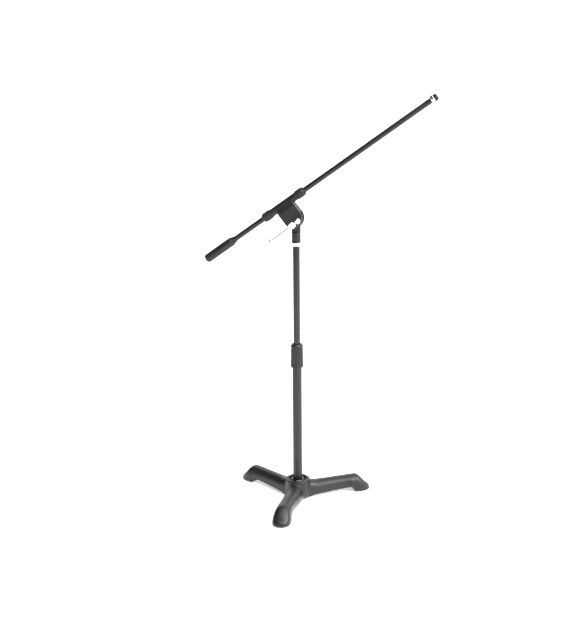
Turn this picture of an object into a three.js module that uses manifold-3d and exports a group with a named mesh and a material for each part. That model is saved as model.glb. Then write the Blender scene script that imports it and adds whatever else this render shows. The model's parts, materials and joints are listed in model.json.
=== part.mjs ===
// Boom microphone stand: a three-legged cast base, a two-tube mast with a twist clutch,
// and a fixed-length boom that tilts on a swivel locked by a T-handle screw.
// Millimetres, +Z up. Each named mesh is one physical piece.
import * as THREE from 'three';
import { mergeVertices } from 'three/addons/utils/BufferGeometryUtils.js';
import Module from 'manifold-3d';

const wasm = await Module();
wasm.setup();

// ---------------------------------------------------------------- driving dimensions
const GAP = 0.3;                 // clearance between two pieces that touch on the real stand
const SEGMENTS = 28;             // sides of a large round piece
const SMALL_SEGMENTS = 16;       // sides of a small round piece

const LEG_COUNT = 3;
const LEG_REACH = 181.5;         // mast axis to the end of a leg
const LEG_HALF_AT_HUB = 20.5;    // half widths: a leg narrows to a waist and flares at the foot
const LEG_HALF_AT_WAIST = 18.4;
const LEG_HALF_AT_FOOT = 21.6;
const LEG_TOP_AT_HUB = 38;       // the leg's top rises a little from the hub to the foot
const LEG_TOP_AT_FOOT = 41;
const LEG_ROOT_RISE = 4;         // a leg's top sweeps up where it meets the hub
const LEG_ARCH_AT_HUB = 7.5;     // the underside rises from the hub to the back of the foot
const LEG_ARCH_AT_FOOT = 14;
const LEG_RIM = 1.4;             // height of the casting's rim at a foot
const LEG_WALL = 7;
const FOOT_START = 140;          // distance from the mast axis where the foot begins
const SLOPE_START = 145;         // where the foot's top starts to slope down to the toe
const TOE_HEIGHT = 15.5;
const TOE_LENGTH = 10;           // last stretches over which the top and the sides round off
const TOE_ROUND = 24;
const FIRST_LEG_ANGLE = 29.7;      // degrees from the boom's heading

const HUB_RADIUS = 29.5;
const HUB_TOP = 48.6;
const HUB_RECESS_RADIUS = 21;
const HUB_RECESS_DEPTH = 5;
const HUB_WEB_TOP = 18;
const HUB_WEB_BOTTOM = 10;

const PAD_RADIUS = 8;
const PAD_HEIGHT = 6;
const PAD_DISTANCE = 157;

const LOWER_TUBE_RADIUS = 11.1;  // 7/8 inch tube
const LOWER_TUBE_WALL = 1.5;
const LOWER_TUBE_TOP = 346;
const UPPER_TUBE_RADIUS = 8;
const UPPER_TUBE_WALL = 1.3;
const UPPER_TUBE_BOTTOM = 284;
const UPPER_TUBE_TOP = 611;
const GLIDE_TOP = 304;

const CLUTCH_BOTTOM = 325;
const CLUTCH_TOP = 382;
const CLUTCH_RADIUS = 14.6;
const SLEEVE_RADIUS = 12.7;
const SLEEVE_BOTTOM = 330;
const SLEEVE_TOP = 356;

const STUD_RADIUS = 7.9;         // 5/8 inch stand thread
const STUD_TOP = 640;
const LOCK_RING_RADIUS = 10.5;
const LOCK_RING_HEIGHT = 7.8;
const POST_RADIUS = 10.5;

const PIVOT_HEIGHT = 665;
const TONGUE_HALF = 6;           // half the thickness of the swivel post's tongue
const SHOULDER_DROP = 22;        // pivot axis down to the post's shoulder
const DISC_THICKNESS = 1.2;
const DISC_RADIUS = 10;
const BRACKET_HALF = 13.5;       // half the bracket's thickness
const CHEEK_REAR = 20.5;         // pivot axis back to the rear edge of a cheek
const CHEEK_FRONT = 23.9;        // the front edge bulges further
const CHEEK_FOOT = 12.4;         // pivot axis down to the bottom of a cheek
const CHEEK_ROUND_REAR = 12;     // height above the pivot where each edge's rounding begins
const CHEEK_ROUND_FRONT = 14;
const SLOT_ROOF = 13.5;
const PIVOT_HOLE_RADIUS = 4.4;
const SCREW_RADIUS = 4;

const BOOM_TILT = 35.7;          // degrees above the horizontal
const BOOM_OFFSET = 48;          // pivot axis to boom axis
const ROD_RADIUS = 6.1;
const ROD_WALL = 1.2;
const BARREL_RADIUS = 9;
const BARREL_HALF = 36;
const BARREL_BORE = 6.5;
const NUT_RADIUS = 10.7;
const NUT_LENGTH = 22;
const WEIGHT_RADIUS = 10.2;
const WEIGHT_OUTER_END = -226.5; // positions along the boom, from the foot of the bracket
const WEIGHT_INNER_END = -149;
const WEIGHT_CONE_END = -141.6;
const ROD_REAR_END = -188;
const TIP_RING_START = 400;
const TIP_RING_LENGTH = 7.4;
const TIP_RING_RADIUS = 9.3;
const TIP_END = 414.5;

const HEAD_RADIUS = 7.7;         // head of the T-handle screw
const HEAD_LENGTH = 14;
const HEAD_CENTRE = 39.5;        // middle of the bracket to the sliding bar
const BAR_RADIUS = 2.2;
const BALL_RADIUS = 6.5;
const SHORT_BALL = 15.6;         // head centre to each ball's centre, along the bar
const LONG_BALL = -61.8;
const BAR_TILT = 2.5;            // degrees from the boom's direction up to the bar's

// The mast stands off the middle of the floor box, because the boom reaches forward.
const MAST_X = -48.2;
const MAST_Y = 39.6;

// ---------------------------------------------------------------- materials
const material = (color, roughness, metalness) =>
  new THREE.MeshStandardMaterial({ color, roughness, metalness });
const MATERIALS = {
  castIron: material(0x35363a, 0.5, 0.5),
  blackTube: material(0x2b2c2e, 0.4, 0.6),
  blackCasting: material(0x29292b, 0.55, 0.4),
  chrome: material(0xe4e6e8, 0.12, 1.0),
  zinc: material(0xb0b2b4, 0.35, 0.9),
  blackOxide: material(0x2a2a2c, 0.3, 0.8),
  blackPlastic: material(0x26272a, 0.6, 0.0),
  nylon: material(0xd8d6cc, 0.55, 0.0),
  rubber: material(0x1b1b1c, 0.9, 0.0),
};

// ---------------------------------------------------------------- solids
// A closed geometry as a manifold solid; its faces are turned outward if they aren't already.
function solid(geometry) {
  const bare = geometry.clone();
  bare.deleteAttribute('normal');
  bare.deleteAttribute('uv');
  const merged = mergeVertices(bare, 1e-4);
  const position = merged.attributes.position;
  const index = Array.from(merged.index.array);
  const triangles = [];
  let volume = 0;
  const [a, b, c] = [new THREE.Vector3(), new THREE.Vector3(), new THREE.Vector3()];
  for (let i = 0; i < index.length; i += 3) {
    const [p, q, r] = index.slice(i, i + 3);
    if (p === q || q === r || r === p) continue;
    triangles.push([p, q, r]);
    a.fromBufferAttribute(position, p);
    b.fromBufferAttribute(position, q);
    c.fromBufferAttribute(position, r);
    volume += a.dot(b.cross(c));
  }
  const outward = volume > 0 ? triangles : triangles.map(([p, q, r]) => [p, r, q]);
  return new wasm.Manifold(new wasm.Mesh({
    numProp: 3,
    vertProperties: new Float32Array(position.array),
    triVerts: new Uint32Array(outward.flat()),
  }));
}

function toGeometry(shape) {
  const { vertProperties, triVerts } = shape.getMesh();
  const geometry = new THREE.BufferGeometry();
  geometry.setAttribute('position', new THREE.BufferAttribute(new Float32Array(vertProperties), 3));
  geometry.setIndex(new THREE.BufferAttribute(new Uint32Array(triVerts), 1));
  geometry.computeVertexNormals();
  return geometry;
}

const join = (first, ...rest) => rest.reduce((sum, shape) => sum.add(shape), first);
const cut = (first, ...rest) => rest.reduce((left, shape) => left.subtract(shape), first);

// A profile of [radius, height] points turned about Z. A profile that leaves the axis is closed.
function turned(profile, segments = SEGMENTS) {
  const points = profile.map(([r, z]) => new THREE.Vector2(r, z));
  const last = profile[profile.length - 1];
  if (profile[0][0] > 0 || last[0] > 0) points.push(points[0].clone());
  return solid(new THREE.LatheGeometry(points, segments).rotateX(Math.PI / 2));
}

function rod(radius, bottom, top, segments = SMALL_SEGMENTS) {
  return turned([[0, bottom], [radius, bottom], [radius, top], [0, top]], segments);
}

function tube(outer, inner, bottom, top, segments = SEGMENTS) {
  return turned([[inner, bottom], [outer, bottom], [outer, top], [inner, top]], segments);
}

function block(x, y, z, [cx, cy, cz] = [0, 0, 0]) {
  return solid(new THREE.BoxGeometry(x, y, z).translate(cx, cy, cz));
}

// A six-sided prism about Z, given its width across the flats.
function hexagon(acrossFlats, bottom, top) {
  const geometry = new THREE.CylinderGeometry(
    acrossFlats / Math.sqrt(3), acrossFlats / Math.sqrt(3), top - bottom, 6);
  return solid(geometry.rotateX(Math.PI / 2).translate(0, 0, (top + bottom) / 2));
}

const aroundZ = (shape, degrees) => shape.rotate([0, 0, degrees]);
const alongX = (shape) => shape.rotate([0, 90, 0]);
const alongMinusY = (shape) => shape.rotate([90, 0, 0]);

function piece(name, shape, finish) {
  const mesh = new THREE.Mesh(toGeometry(shape), MATERIALS[finish]);
  mesh.name = name;
  return mesh;
}

// ---------------------------------------------------------------- base
// Half width, underside and top of a leg at a distance from the mast axis, as an inverted U.
function legSection(distance) {
  const { smoothstep, mapLinear, lerp } = THREE.MathUtils;
  const rootToWaist = smoothstep(distance, 30, 95);
  const waistToFoot = smoothstep(distance, 110, 160);
  const half = lerp(LEG_HALF_AT_HUB, LEG_HALF_AT_WAIST, rootToWaist) +
    (LEG_HALF_AT_FOOT - LEG_HALF_AT_WAIST) * waistToFoot;
  const raised = smoothstep(distance, 12, 40) - smoothstep(distance, FOOT_START - 8, FOOT_START);
  const arch = mapLinear(distance, 40, FOOT_START - 8, LEG_ARCH_AT_HUB, LEG_ARCH_AT_FOOT);
  const rise = mapLinear(distance, HUB_RADIUS, SLOPE_START, LEG_TOP_AT_HUB, LEG_TOP_AT_FOOT);
  const root = LEG_ROOT_RISE * (1 - smoothstep(distance, HUB_RADIUS - 4, HUB_RADIUS + 18));
  const crest = Math.min(rise, LEG_TOP_AT_FOOT) + root;
  const top = lerp(crest, TOE_HEIGHT, smoothstep(distance, SLOPE_START, LEG_REACH - 3));
  return {
    half: half * rounding(distance, TOE_ROUND, 0.42),
    bottom: LEG_RIM + (arch - LEG_RIM) * raised,
    top: LEG_RIM + (top - LEG_RIM) * rounding(distance, TOE_LENGTH, 0.35),
  };
}

// The share left of a leg's width or height where its last stretch rounds off.
function rounding(distance, length, power) {
  const along = Math.max(0, (distance - (LEG_REACH - length)) / length);
  return Math.pow(Math.max(0, 1 - along * along), power);
}

// Closed skin over sections of equal point counts, from the first section to the last.
function loft(sections) {
  const count = sections[0].length;
  const vertices = sections.flat();
  const index = [];
  for (let s = 0; s + 1 < sections.length; s += 1) {
    for (let i = 0; i < count; i += 1) {
      const next = (i + 1) % count;
      const [a, b] = [s * count + i, s * count + next];
      index.push(a, b, a + count, b, b + count, a + count);
    }
  }
  const lastRow = (sections.length - 1) * count;
  for (let i = 1; i + 1 < count; i += 1) {
    index.push(0, i + 1, i);
    index.push(lastRow, lastRow + i, lastRow + i + 1);
  }
  const geometry = new THREE.BufferGeometry();
  geometry.setAttribute('position', new THREE.Float32BufferAttribute(vertices.flat(), 3));
  geometry.setIndex(index);
  return solid(geometry);
}

function invertedU(distance, half, bottom, top) {
  const steps = 12;
  const squareness = 0.74;
  const outline = [];
  for (let i = 0; i <= steps; i += 1) {
    const angle = (Math.PI * i) / steps;
    const side = Math.cos(angle);
    const y = -half * Math.sign(side) * Math.pow(Math.abs(side), squareness);
    const z = bottom + (top - bottom) * Math.pow(Math.sin(angle), squareness);
    outline.push([distance, y, Math.max(z, bottom)]);
  }
  return outline;
}

function leg() {
  const distances = [0, 14, 22, 26, 30, 35, 40, 45, 50, 60, 70, 80, 90, 100, 112, 122,
    FOOT_START - 8, FOOT_START - 4, FOOT_START, SLOPE_START, 149, 153];
  for (let i = 0; i <= 10; i += 1) {
    distances.push(LEG_REACH - TOE_ROUND * (1 - Math.sin((i / 10) * 1.49)));
  }
  return loft(distances.map((distance) => {
    const { half, bottom, top } = legSection(distance);
    return invertedU(distance, half, bottom, top);
  }));
}

function legHollow() {
  const half = LEG_HALF_AT_WAIST - LEG_WALL + 1;
  const ends = [HUB_RADIUS + 4, FOOT_START - 6];
  return loft(ends.map((distance) => invertedU(distance, half, -1, LEG_TOP_AT_HUB - LEG_WALL)));
}

function baseCasting() {
  const hub = turned([
    [0, LEG_RIM + 2], [HUB_RADIUS - 1, LEG_RIM + 2], [HUB_RADIUS + 1, 12], [HUB_RADIUS, 40],
    [HUB_RADIUS, HUB_TOP - 2], [HUB_RADIUS - 2, HUB_TOP], [0, HUB_TOP],
  ]);
  const openings = [
    rod(LOWER_TUBE_RADIUS + GAP, HUB_WEB_TOP, HUB_TOP + 1, SEGMENTS),
    rod(HUB_RECESS_RADIUS, HUB_TOP - HUB_RECESS_DEPTH, HUB_TOP + 1, SEGMENTS),
    rod(SCREW_RADIUS + GAP, HUB_WEB_BOTTOM - 1, HUB_WEB_TOP + 1),
    rod(HUB_RADIUS - 8, 0, HUB_WEB_BOTTOM, SEGMENTS),
  ];
  let casting = hub;
  for (let i = 0; i < LEG_COUNT; i += 1) {
    const angle = FIRST_LEG_ANGLE + (i * 360) / LEG_COUNT;
    casting = casting.add(aroundZ(leg(), angle));
    openings.push(aroundZ(legHollow(), angle));
    openings.push(aroundZ(padSolid(GAP), angle));
  }
  return cut(casting, ...openings);
}

function padSolid(clearance) {
  const pad = rod(PAD_RADIUS + clearance, 0, PAD_HEIGHT + clearance, SEGMENTS);
  return pad.translate([PAD_DISTANCE, 0, 0]);
}

function baseParts() {
  const parts = [piece('base_casting', baseCasting(), 'castIron')];
  for (let i = 0; i < LEG_COUNT; i += 1) {
    const angle = FIRST_LEG_ANGLE + (i * 360) / LEG_COUNT;
    parts.push(piece(`foot_pad_${i + 1}`, aroundZ(padSolid(0), angle), 'rubber'));
  }
  const recessFloor = HUB_TOP - HUB_RECESS_DEPTH;
  const plugTop = HUB_WEB_TOP + 24;
  const tubeInside = LOWER_TUBE_RADIUS - LOWER_TUBE_WALL;
  const collar = turned([
    [LOWER_TUBE_RADIUS + GAP, recessFloor + GAP], [16.5, recessFloor + GAP],
    [16.5, recessFloor + 3.4], [15.3, recessFloor + 4.6],
    [LOWER_TUBE_RADIUS + GAP, recessFloor + 4.6],
  ]);
  const washerTop = HUB_WEB_BOTTOM - GAP;
  const bolt = join(
    hexagon(13, washerTop - 2 - GAP - 5.3, washerTop - 2 - GAP),
    rod(SCREW_RADIUS, washerTop - 2 - GAP - 1, plugTop - 4),
  );
  parts.push(
    piece('hub_collar', collar, 'blackOxide'),
    piece('base_washer', tube(15, SCREW_RADIUS + GAP, washerTop - 2, washerTop), 'zinc'),
    piece('base_bolt', bolt, 'zinc'),
    piece('tube_plug',
      tube(tubeInside - GAP, SCREW_RADIUS + GAP, HUB_WEB_TOP + GAP, plugTop), 'zinc'),
    piece('lower_tube',
      tube(LOWER_TUBE_RADIUS, tubeInside, HUB_WEB_TOP + GAP, LOWER_TUBE_TOP), 'blackTube'),
  );
  return parts;
}

// ---------------------------------------------------------------- height clutch
function clutchParts() {
  const tubeOutside = LOWER_TUBE_RADIUS + GAP;
  const guide = UPPER_TUBE_RADIUS + GAP;
  const sleeve = turned([
    [tubeOutside, SLEEVE_BOTTOM], [SLEEVE_RADIUS, SLEEVE_BOTTOM], [SLEEVE_RADIUS, SLEEVE_TOP],
    [guide, SLEEVE_TOP], [guide, LOWER_TUBE_TOP + GAP], [tubeOutside, LOWER_TUBE_TOP + GAP],
  ]);
  const grip = turned([
    [tubeOutside, CLUTCH_BOTTOM], [CLUTCH_RADIUS - 1.4, CLUTCH_BOTTOM],
    [CLUTCH_RADIUS + 0.4, CLUTCH_BOTTOM + 3], [CLUTCH_RADIUS, CLUTCH_BOTTOM + 22],
    [CLUTCH_RADIUS - 0.4, CLUTCH_TOP - 4], [CLUTCH_RADIUS - 2.6, CLUTCH_TOP],
    [guide + GAP, CLUTCH_TOP], [guide + GAP, CLUTCH_TOP - 4], [11.2, CLUTCH_TOP - 5],
    [SLEEVE_RADIUS + GAP, SLEEVE_TOP + 4], [SLEEVE_RADIUS + GAP, SLEEVE_BOTTOM - 1],
    [tubeOutside, SLEEVE_BOTTOM - 1.5],
  ]);
  const collet = turned([
    [guide, SLEEVE_TOP + GAP], [SLEEVE_RADIUS - GAP, SLEEVE_TOP + GAP],
    [SLEEVE_RADIUS - GAP, SLEEVE_TOP + 4], [10.7, CLUTCH_TOP - 5.6], [guide, CLUTCH_TOP - 5.6],
  ]);
  const slot = block(SLEEVE_RADIUS * 2, 1.2, 30, [SLEEVE_RADIUS, 0, SLEEVE_TOP + 19]);
  return {
    sleeve: piece('clutch_sleeve', sleeve, 'zinc'),
    grip: piece('clutch_grip', grip, 'blackPlastic'),
    collet: piece('clutch_collet',
      cut(collet, slot, aroundZ(slot, 120), aroundZ(slot, 240)), 'nylon'),
  };
}

// ---------------------------------------------------------------- mast and swivel post
function mastParts() {
  const tubeInside = UPPER_TUBE_RADIUS - UPPER_TUBE_WALL;
  const glideRadius = LOWER_TUBE_RADIUS - LOWER_TUBE_WALL - GAP;
  const glide = turned([
    [tubeInside - 1, UPPER_TUBE_BOTTOM - 4], [glideRadius, UPPER_TUBE_BOTTOM - 4],
    [glideRadius, GLIDE_TOP], [UPPER_TUBE_RADIUS + GAP, GLIDE_TOP],
    [UPPER_TUBE_RADIUS + GAP, UPPER_TUBE_BOTTOM - GAP], [tubeInside - 1, UPPER_TUBE_BOTTOM - GAP],
  ]);
  const stud = turned([
    [0, UPPER_TUBE_TOP - 22], [tubeInside - GAP, UPPER_TUBE_TOP - 22],
    [tubeInside - GAP, UPPER_TUBE_TOP + GAP], [STUD_RADIUS, UPPER_TUBE_TOP + GAP],
    [STUD_RADIUS, STUD_TOP - 1], [STUD_RADIUS - 1, STUD_TOP], [0, STUD_TOP],
  ]);
  const postBottom = UPPER_TUBE_TOP + 2 * GAP + LOCK_RING_HEIGHT + GAP;
  const shoulder = PIVOT_HEIGHT - SHOULDER_DROP;
  const thread = STUD_RADIUS + GAP;
  const postBody = turned([
    [thread, postBottom], [POST_RADIUS - 0.6, postBottom], [POST_RADIUS, postBottom + 0.6],
    [POST_RADIUS, shoulder], [0, shoulder], [0, STUD_TOP + 1], [thread, STUD_TOP + 1],
    [thread, postBottom],
  ]);
  const tongueDisc = rod(POST_RADIUS, -TONGUE_HALF, TONGUE_HALF, SEGMENTS);
  const tongue = join(
    alongMinusY(tongueDisc).translate([0, 0, PIVOT_HEIGHT]),
    block(2 * POST_RADIUS, 2 * TONGUE_HALF, SHOULDER_DROP + 1,
      [0, 0, PIVOT_HEIGHT - (SHOULDER_DROP + 1) / 2]),
  );
  const pivotHole = alongMinusY(rod(PIVOT_HOLE_RADIUS, -20, 20)).translate([0, 0, PIVOT_HEIGHT]);
  const roundPost = rod(POST_RADIUS, shoulder - 2, PIVOT_HEIGHT + 20, SEGMENTS);
  const post = cut(postBody.add(tongue.intersect(roundPost)), pivotHole);
  const ring = turned([
    [thread, UPPER_TUBE_TOP + 2 * GAP], [LOCK_RING_RADIUS - 0.8, UPPER_TUBE_TOP + 2 * GAP],
    [LOCK_RING_RADIUS, UPPER_TUBE_TOP + 2 * GAP + 0.8],
    [LOCK_RING_RADIUS, postBottom - GAP - 0.8], [LOCK_RING_RADIUS - 0.8, postBottom - GAP],
    [thread, postBottom - GAP],
  ]);
  const disc = alongMinusY(tube(DISC_RADIUS, PIVOT_HOLE_RADIUS, 0, DISC_THICKNESS));
  const discGap = TONGUE_HALF + 0.25;
  return {
    fixed: [
      piece('upper_tube',
        tube(UPPER_TUBE_RADIUS, tubeInside, UPPER_TUBE_BOTTOM, UPPER_TUBE_TOP), 'blackTube'),
      piece('tube_glide', glide, 'nylon'),
      piece('top_stud', stud, 'zinc'),
      piece('swivel_post', post, 'blackCasting'),
      piece('friction_disc_near', disc.translate([0, -discGap, PIVOT_HEIGHT]), 'nylon'),
      piece('friction_disc_far',
        disc.translate([0, discGap + DISC_THICKNESS, PIVOT_HEIGHT]), 'nylon'),
    ],
    ring: piece('lock_ring', ring, 'chrome'),
  };
}

// ---------------------------------------------------------------- boom, in its own frame
// Here X runs along the boom towards the microphone, and Z from the pivot up to the boom.
function boomBracket() {
  const outline = new THREE.Shape();
  outline.moveTo(-CHEEK_REAR - 1, BOOM_OFFSET);
  outline.lineTo(-CHEEK_REAR, CHEEK_ROUND_REAR);
  outline.absellipse(0, CHEEK_ROUND_REAR, CHEEK_REAR, CHEEK_FOOT + CHEEK_ROUND_REAR,
    Math.PI, 1.5 * Math.PI);
  outline.absellipse(0, CHEEK_ROUND_FRONT, CHEEK_FRONT, CHEEK_FOOT + CHEEK_ROUND_FRONT,
    1.5 * Math.PI, 2 * Math.PI);
  outline.lineTo(CHEEK_FRONT - 2, BOOM_OFFSET);
  const plate = new THREE.ExtrudeGeometry(outline, {
    depth: 2 * BRACKET_HALF - 2, bevelEnabled: true, bevelThickness: 1, bevelSize: 1,
    bevelOffset: -1, bevelSegments: 1, curveSegments: 7,
  }).rotateX(Math.PI / 2).translate(0, BRACKET_HALF - 1, 0);
  // The cheeks stay flat up to the neck, which then narrows to the barrel.
  const neck = new THREE.Shape();
  const neckHeight = BOOM_OFFSET - 15;
  neck.moveTo(-BRACKET_HALF, -CHEEK_FOOT - 1);
  neck.lineTo(BRACKET_HALF, -CHEEK_FOOT - 1);
  neck.lineTo(BRACKET_HALF, neckHeight);
  neck.lineTo(BARREL_RADIUS - 0.4, BOOM_OFFSET);
  neck.lineTo(-BARREL_RADIUS + 0.4, BOOM_OFFSET);
  neck.lineTo(-BRACKET_HALF, neckHeight);
  const envelope = new THREE.ExtrudeGeometry(neck, { depth: 60, bevelEnabled: false })
    .translate(0, 0, -30).rotateX(Math.PI / 2).rotateZ(Math.PI / 2);
  const barrel = alongX(turned([
    [0, -BARREL_HALF - 11], [8.1, -BARREL_HALF - 11], [8.1, -BARREL_HALF],
    [BARREL_RADIUS, -BARREL_HALF], [BARREL_RADIUS, BARREL_HALF], [8.1, BARREL_HALF],
    [8.1, BARREL_HALF + 11], [0, BARREL_HALF + 11],
  ])).translate([0, 0, BOOM_OFFSET]);
  const slotHalf = TONGUE_HALF + 0.25 + DISC_THICKNESS + 0.25;
  const slotHeight = SLOT_ROOF + CHEEK_FOOT + 2;
  return cut(
    join(solid(plate).intersect(solid(envelope)), barrel),
    block(60, 2 * slotHalf, slotHeight, [0, 0, SLOT_ROOF - slotHeight / 2]),
    alongX(rod(BARREL_BORE, -60, 60, SEGMENTS)).translate([0, 0, BOOM_OFFSET]),
    alongMinusY(rod(PIVOT_HOLE_RADIUS, -20, 20)),
  );
}

// A clamp nut on the front end of the barrel; the rear one is its mirror image.
function clampNut() {
  const start = BARREL_HALF + GAP;
  const end = BARREL_HALF + NUT_LENGTH;
  return turned([
    [8.4, start], [NUT_RADIUS - 0.8, start], [NUT_RADIUS, start + 0.8],
    [NUT_RADIUS, end - 4.5], [NUT_RADIUS - 2.6, end], [ROD_RADIUS + 0.5, end],
    [ROD_RADIUS + 0.5, end - 1.6], [7.5, end - 1.8], [8.6, start + 12.6], [8.4, start + 11.2],
  ]);
}

function boomCollet() {
  const start = BARREL_HALF + 11 + GAP;
  const end = BARREL_HALF + NUT_LENGTH - 2.1;
  const body = turned([
    [ROD_RADIUS + 0.25, start], [8.05, start], [8.05, start + 1.4], [7.15, end],
    [ROD_RADIUS + 0.25, end],
  ], SMALL_SEGMENTS);
  const slot = block(20, 0.9, 9, [10, 0, end]);
  return cut(body, slot, aroundZ(slot, 120), aroundZ(slot, 240));
}

const onBoom = (shape) => alongX(shape).translate([0, 0, BOOM_OFFSET]);
const rearward = (shape) => shape.mirror([0, 0, 1]);

function boomRodParts() {
  const rodInside = ROD_RADIUS - ROD_WALL;
  const ringEnd = TIP_RING_START + TIP_RING_LENGTH;
  const weight = turned([
    [0, WEIGHT_OUTER_END], [WEIGHT_RADIUS - 2.8, WEIGHT_OUTER_END],
    [WEIGHT_RADIUS, WEIGHT_OUTER_END + 3.4], [WEIGHT_RADIUS, WEIGHT_INNER_END - 1.5],
    [WEIGHT_RADIUS - 1.2, WEIGHT_INNER_END], [ROD_RADIUS + 1, WEIGHT_CONE_END],
    [ROD_RADIUS + GAP, WEIGHT_CONE_END], [ROD_RADIUS + GAP, ROD_REAR_END - GAP],
    [0, ROD_REAR_END - GAP],
  ]);
  const ring = turned([
    [ROD_RADIUS + GAP, TIP_RING_START], [TIP_RING_RADIUS - 0.7, TIP_RING_START],
    [TIP_RING_RADIUS, TIP_RING_START + 0.7], [TIP_RING_RADIUS, ringEnd - 0.7],
    [TIP_RING_RADIUS - 0.7, ringEnd], [ROD_RADIUS + GAP, ringEnd],
  ]);
  const thread = turned([
    [0, TIP_RING_START - 24], [rodInside - GAP, TIP_RING_START - 24],
    [rodInside - GAP, TIP_RING_START], [ROD_RADIUS, TIP_RING_START], [ROD_RADIUS, ringEnd + GAP],
    [STUD_RADIUS, ringEnd + GAP], [STUD_RADIUS, TIP_END - 0.8], [STUD_RADIUS - 0.8, TIP_END],
    [4.2, TIP_END], [4.2, TIP_END - 5], [0, TIP_END - 5],
  ]);
  return [
    piece('boom_rod',
      onBoom(tube(ROD_RADIUS, rodInside, ROD_REAR_END, TIP_RING_START - GAP)), 'blackTube'),
    piece('counterweight', onBoom(weight), 'blackCasting'),
    piece('tip_collar', onBoom(ring), 'chrome'),
    piece('tip_thread', onBoom(thread), 'blackCasting'),
  ];
}

// The T-handle: a screw through the cheeks, and a bar that slides across its head.
function handleParts() {
  const washerTop = BRACKET_HALF + GAP + 2;
  const headStart = HEAD_CENTRE - HEAD_LENGTH / 2;
  const headEnd = HEAD_CENTRE + HEAD_LENGTH / 2;
  const profile = turned([
    [0, -BRACKET_HALF - 8.5], [SCREW_RADIUS, -BRACKET_HALF - 8.5], [SCREW_RADIUS, washerTop + GAP],
    [5.2, washerTop + GAP], [5.2, headStart - 2], [HEAD_RADIUS - 0.6, headStart],
    [HEAD_RADIUS, headStart + 1], [HEAD_RADIUS, headEnd - 1.6], [HEAD_RADIUS - 1.6, headEnd],
    [0, headEnd],
  ]);
  const atHead = (shape) => shape.translate([0, -HEAD_CENTRE, 0]).rotate([0, -BAR_TILT, 0]);
  const barHole = alongX(rod(BAR_RADIUS + 0.25, -12, 12));
  const screw = cut(alongMinusY(profile), atHead(barHole));
  const washer = tube(10.5, SCREW_RADIUS + GAP, BRACKET_HALF + GAP, washerTop);
  const nut = cut(hexagon(13, 0, 6.2), rod(SCREW_RADIUS + GAP, -1, 8));
  const bar = alongX(rod(BAR_RADIUS, LONG_BALL + 5, SHORT_BALL - 5));
  const barSocket = alongX(rod(BAR_RADIUS + GAP, LONG_BALL + 5 - GAP, SHORT_BALL - 5 + GAP));
  const ball = (place) => cut(
    solid(new THREE.SphereGeometry(BALL_RADIUS, 16, 10)).translate([place, 0, 0]), barSocket);
  return {
    screw: [
      piece('pivot_screw', screw, 'chrome'),
      piece('pivot_washer', alongMinusY(washer), 'blackOxide'),
    ],
    bar: [
      piece('t_bar', atHead(bar), 'chrome'),
      piece('t_bar_ball_short', atHead(ball(SHORT_BALL)), 'chrome'),
      piece('t_bar_ball_long', atHead(ball(LONG_BALL)), 'chrome'),
    ],
    nut: piece('pivot_nut',
      alongMinusY(nut).translate([0, BRACKET_HALF + GAP + 6.2, 0]), 'zinc'),
  };
}

function boomAssembly() {
  const handle = handleParts();
  const boom = new THREE.Group();
  boom.add(
    piece('boom_bracket', boomBracket(), 'blackCasting'),
    handle.nut,
    ...handle.screw,
    ...handle.bar,
    piece('clamp_nut_front', onBoom(clampNut()), 'blackPlastic'),
    piece('clamp_nut_rear', onBoom(rearward(clampNut())), 'blackPlastic'),
    piece('boom_collet_front', onBoom(boomCollet()), 'nylon'),
    piece('boom_collet_rear', onBoom(rearward(boomCollet())), 'nylon'),
    ...boomRodParts(),
  );
  boom.rotation.y = THREE.MathUtils.degToRad(-BOOM_TILT);
  boom.position.z = PIVOT_HEIGHT;
  return boom;
}

// ---------------------------------------------------------------- assembly
const clutch = clutchParts();
const mast = mastParts();
const stand = new THREE.Group();
stand.add(
  ...baseParts(),
  clutch.sleeve,
  clutch.grip,
  clutch.collet,
  ...mast.fixed,
  mast.ring,
  boomAssembly(),
);
stand.position.set(MAST_X, MAST_Y, 0);

export default stand;
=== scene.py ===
"""Looks of the boom microphone stand: its visible pieces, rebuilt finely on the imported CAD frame."""

import json
import math

import bpy
from mathutils import Matrix, Vector


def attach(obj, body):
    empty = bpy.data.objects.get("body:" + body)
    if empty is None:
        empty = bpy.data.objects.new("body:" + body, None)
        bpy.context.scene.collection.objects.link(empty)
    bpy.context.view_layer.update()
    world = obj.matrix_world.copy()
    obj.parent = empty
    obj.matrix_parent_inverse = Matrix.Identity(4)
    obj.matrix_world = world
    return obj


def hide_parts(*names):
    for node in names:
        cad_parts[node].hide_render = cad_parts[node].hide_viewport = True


MM = 0.001
TAU = 2 * math.pi

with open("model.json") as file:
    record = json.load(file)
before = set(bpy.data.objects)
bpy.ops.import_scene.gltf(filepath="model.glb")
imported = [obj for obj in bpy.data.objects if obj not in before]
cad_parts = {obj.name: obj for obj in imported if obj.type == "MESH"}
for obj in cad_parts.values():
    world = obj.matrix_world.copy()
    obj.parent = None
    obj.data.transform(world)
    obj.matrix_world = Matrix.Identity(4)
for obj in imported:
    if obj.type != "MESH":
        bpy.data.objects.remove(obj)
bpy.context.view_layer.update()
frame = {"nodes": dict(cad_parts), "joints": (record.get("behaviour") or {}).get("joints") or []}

# ---------------------------------------------------------------- places
joints = {j["name"]: j for j in frame["joints"]}
mast_foot = Vector(joints["mast_turn"]["pos_m"])
pivot = Vector(joints["boom_tilt"]["pos_m"])
boom_axis = Vector(joints["boom_slide"]["axis"])
tilt = math.atan2(boom_axis.z, boom_axis.x)
BOOM_OFFSET = 48.0

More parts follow.
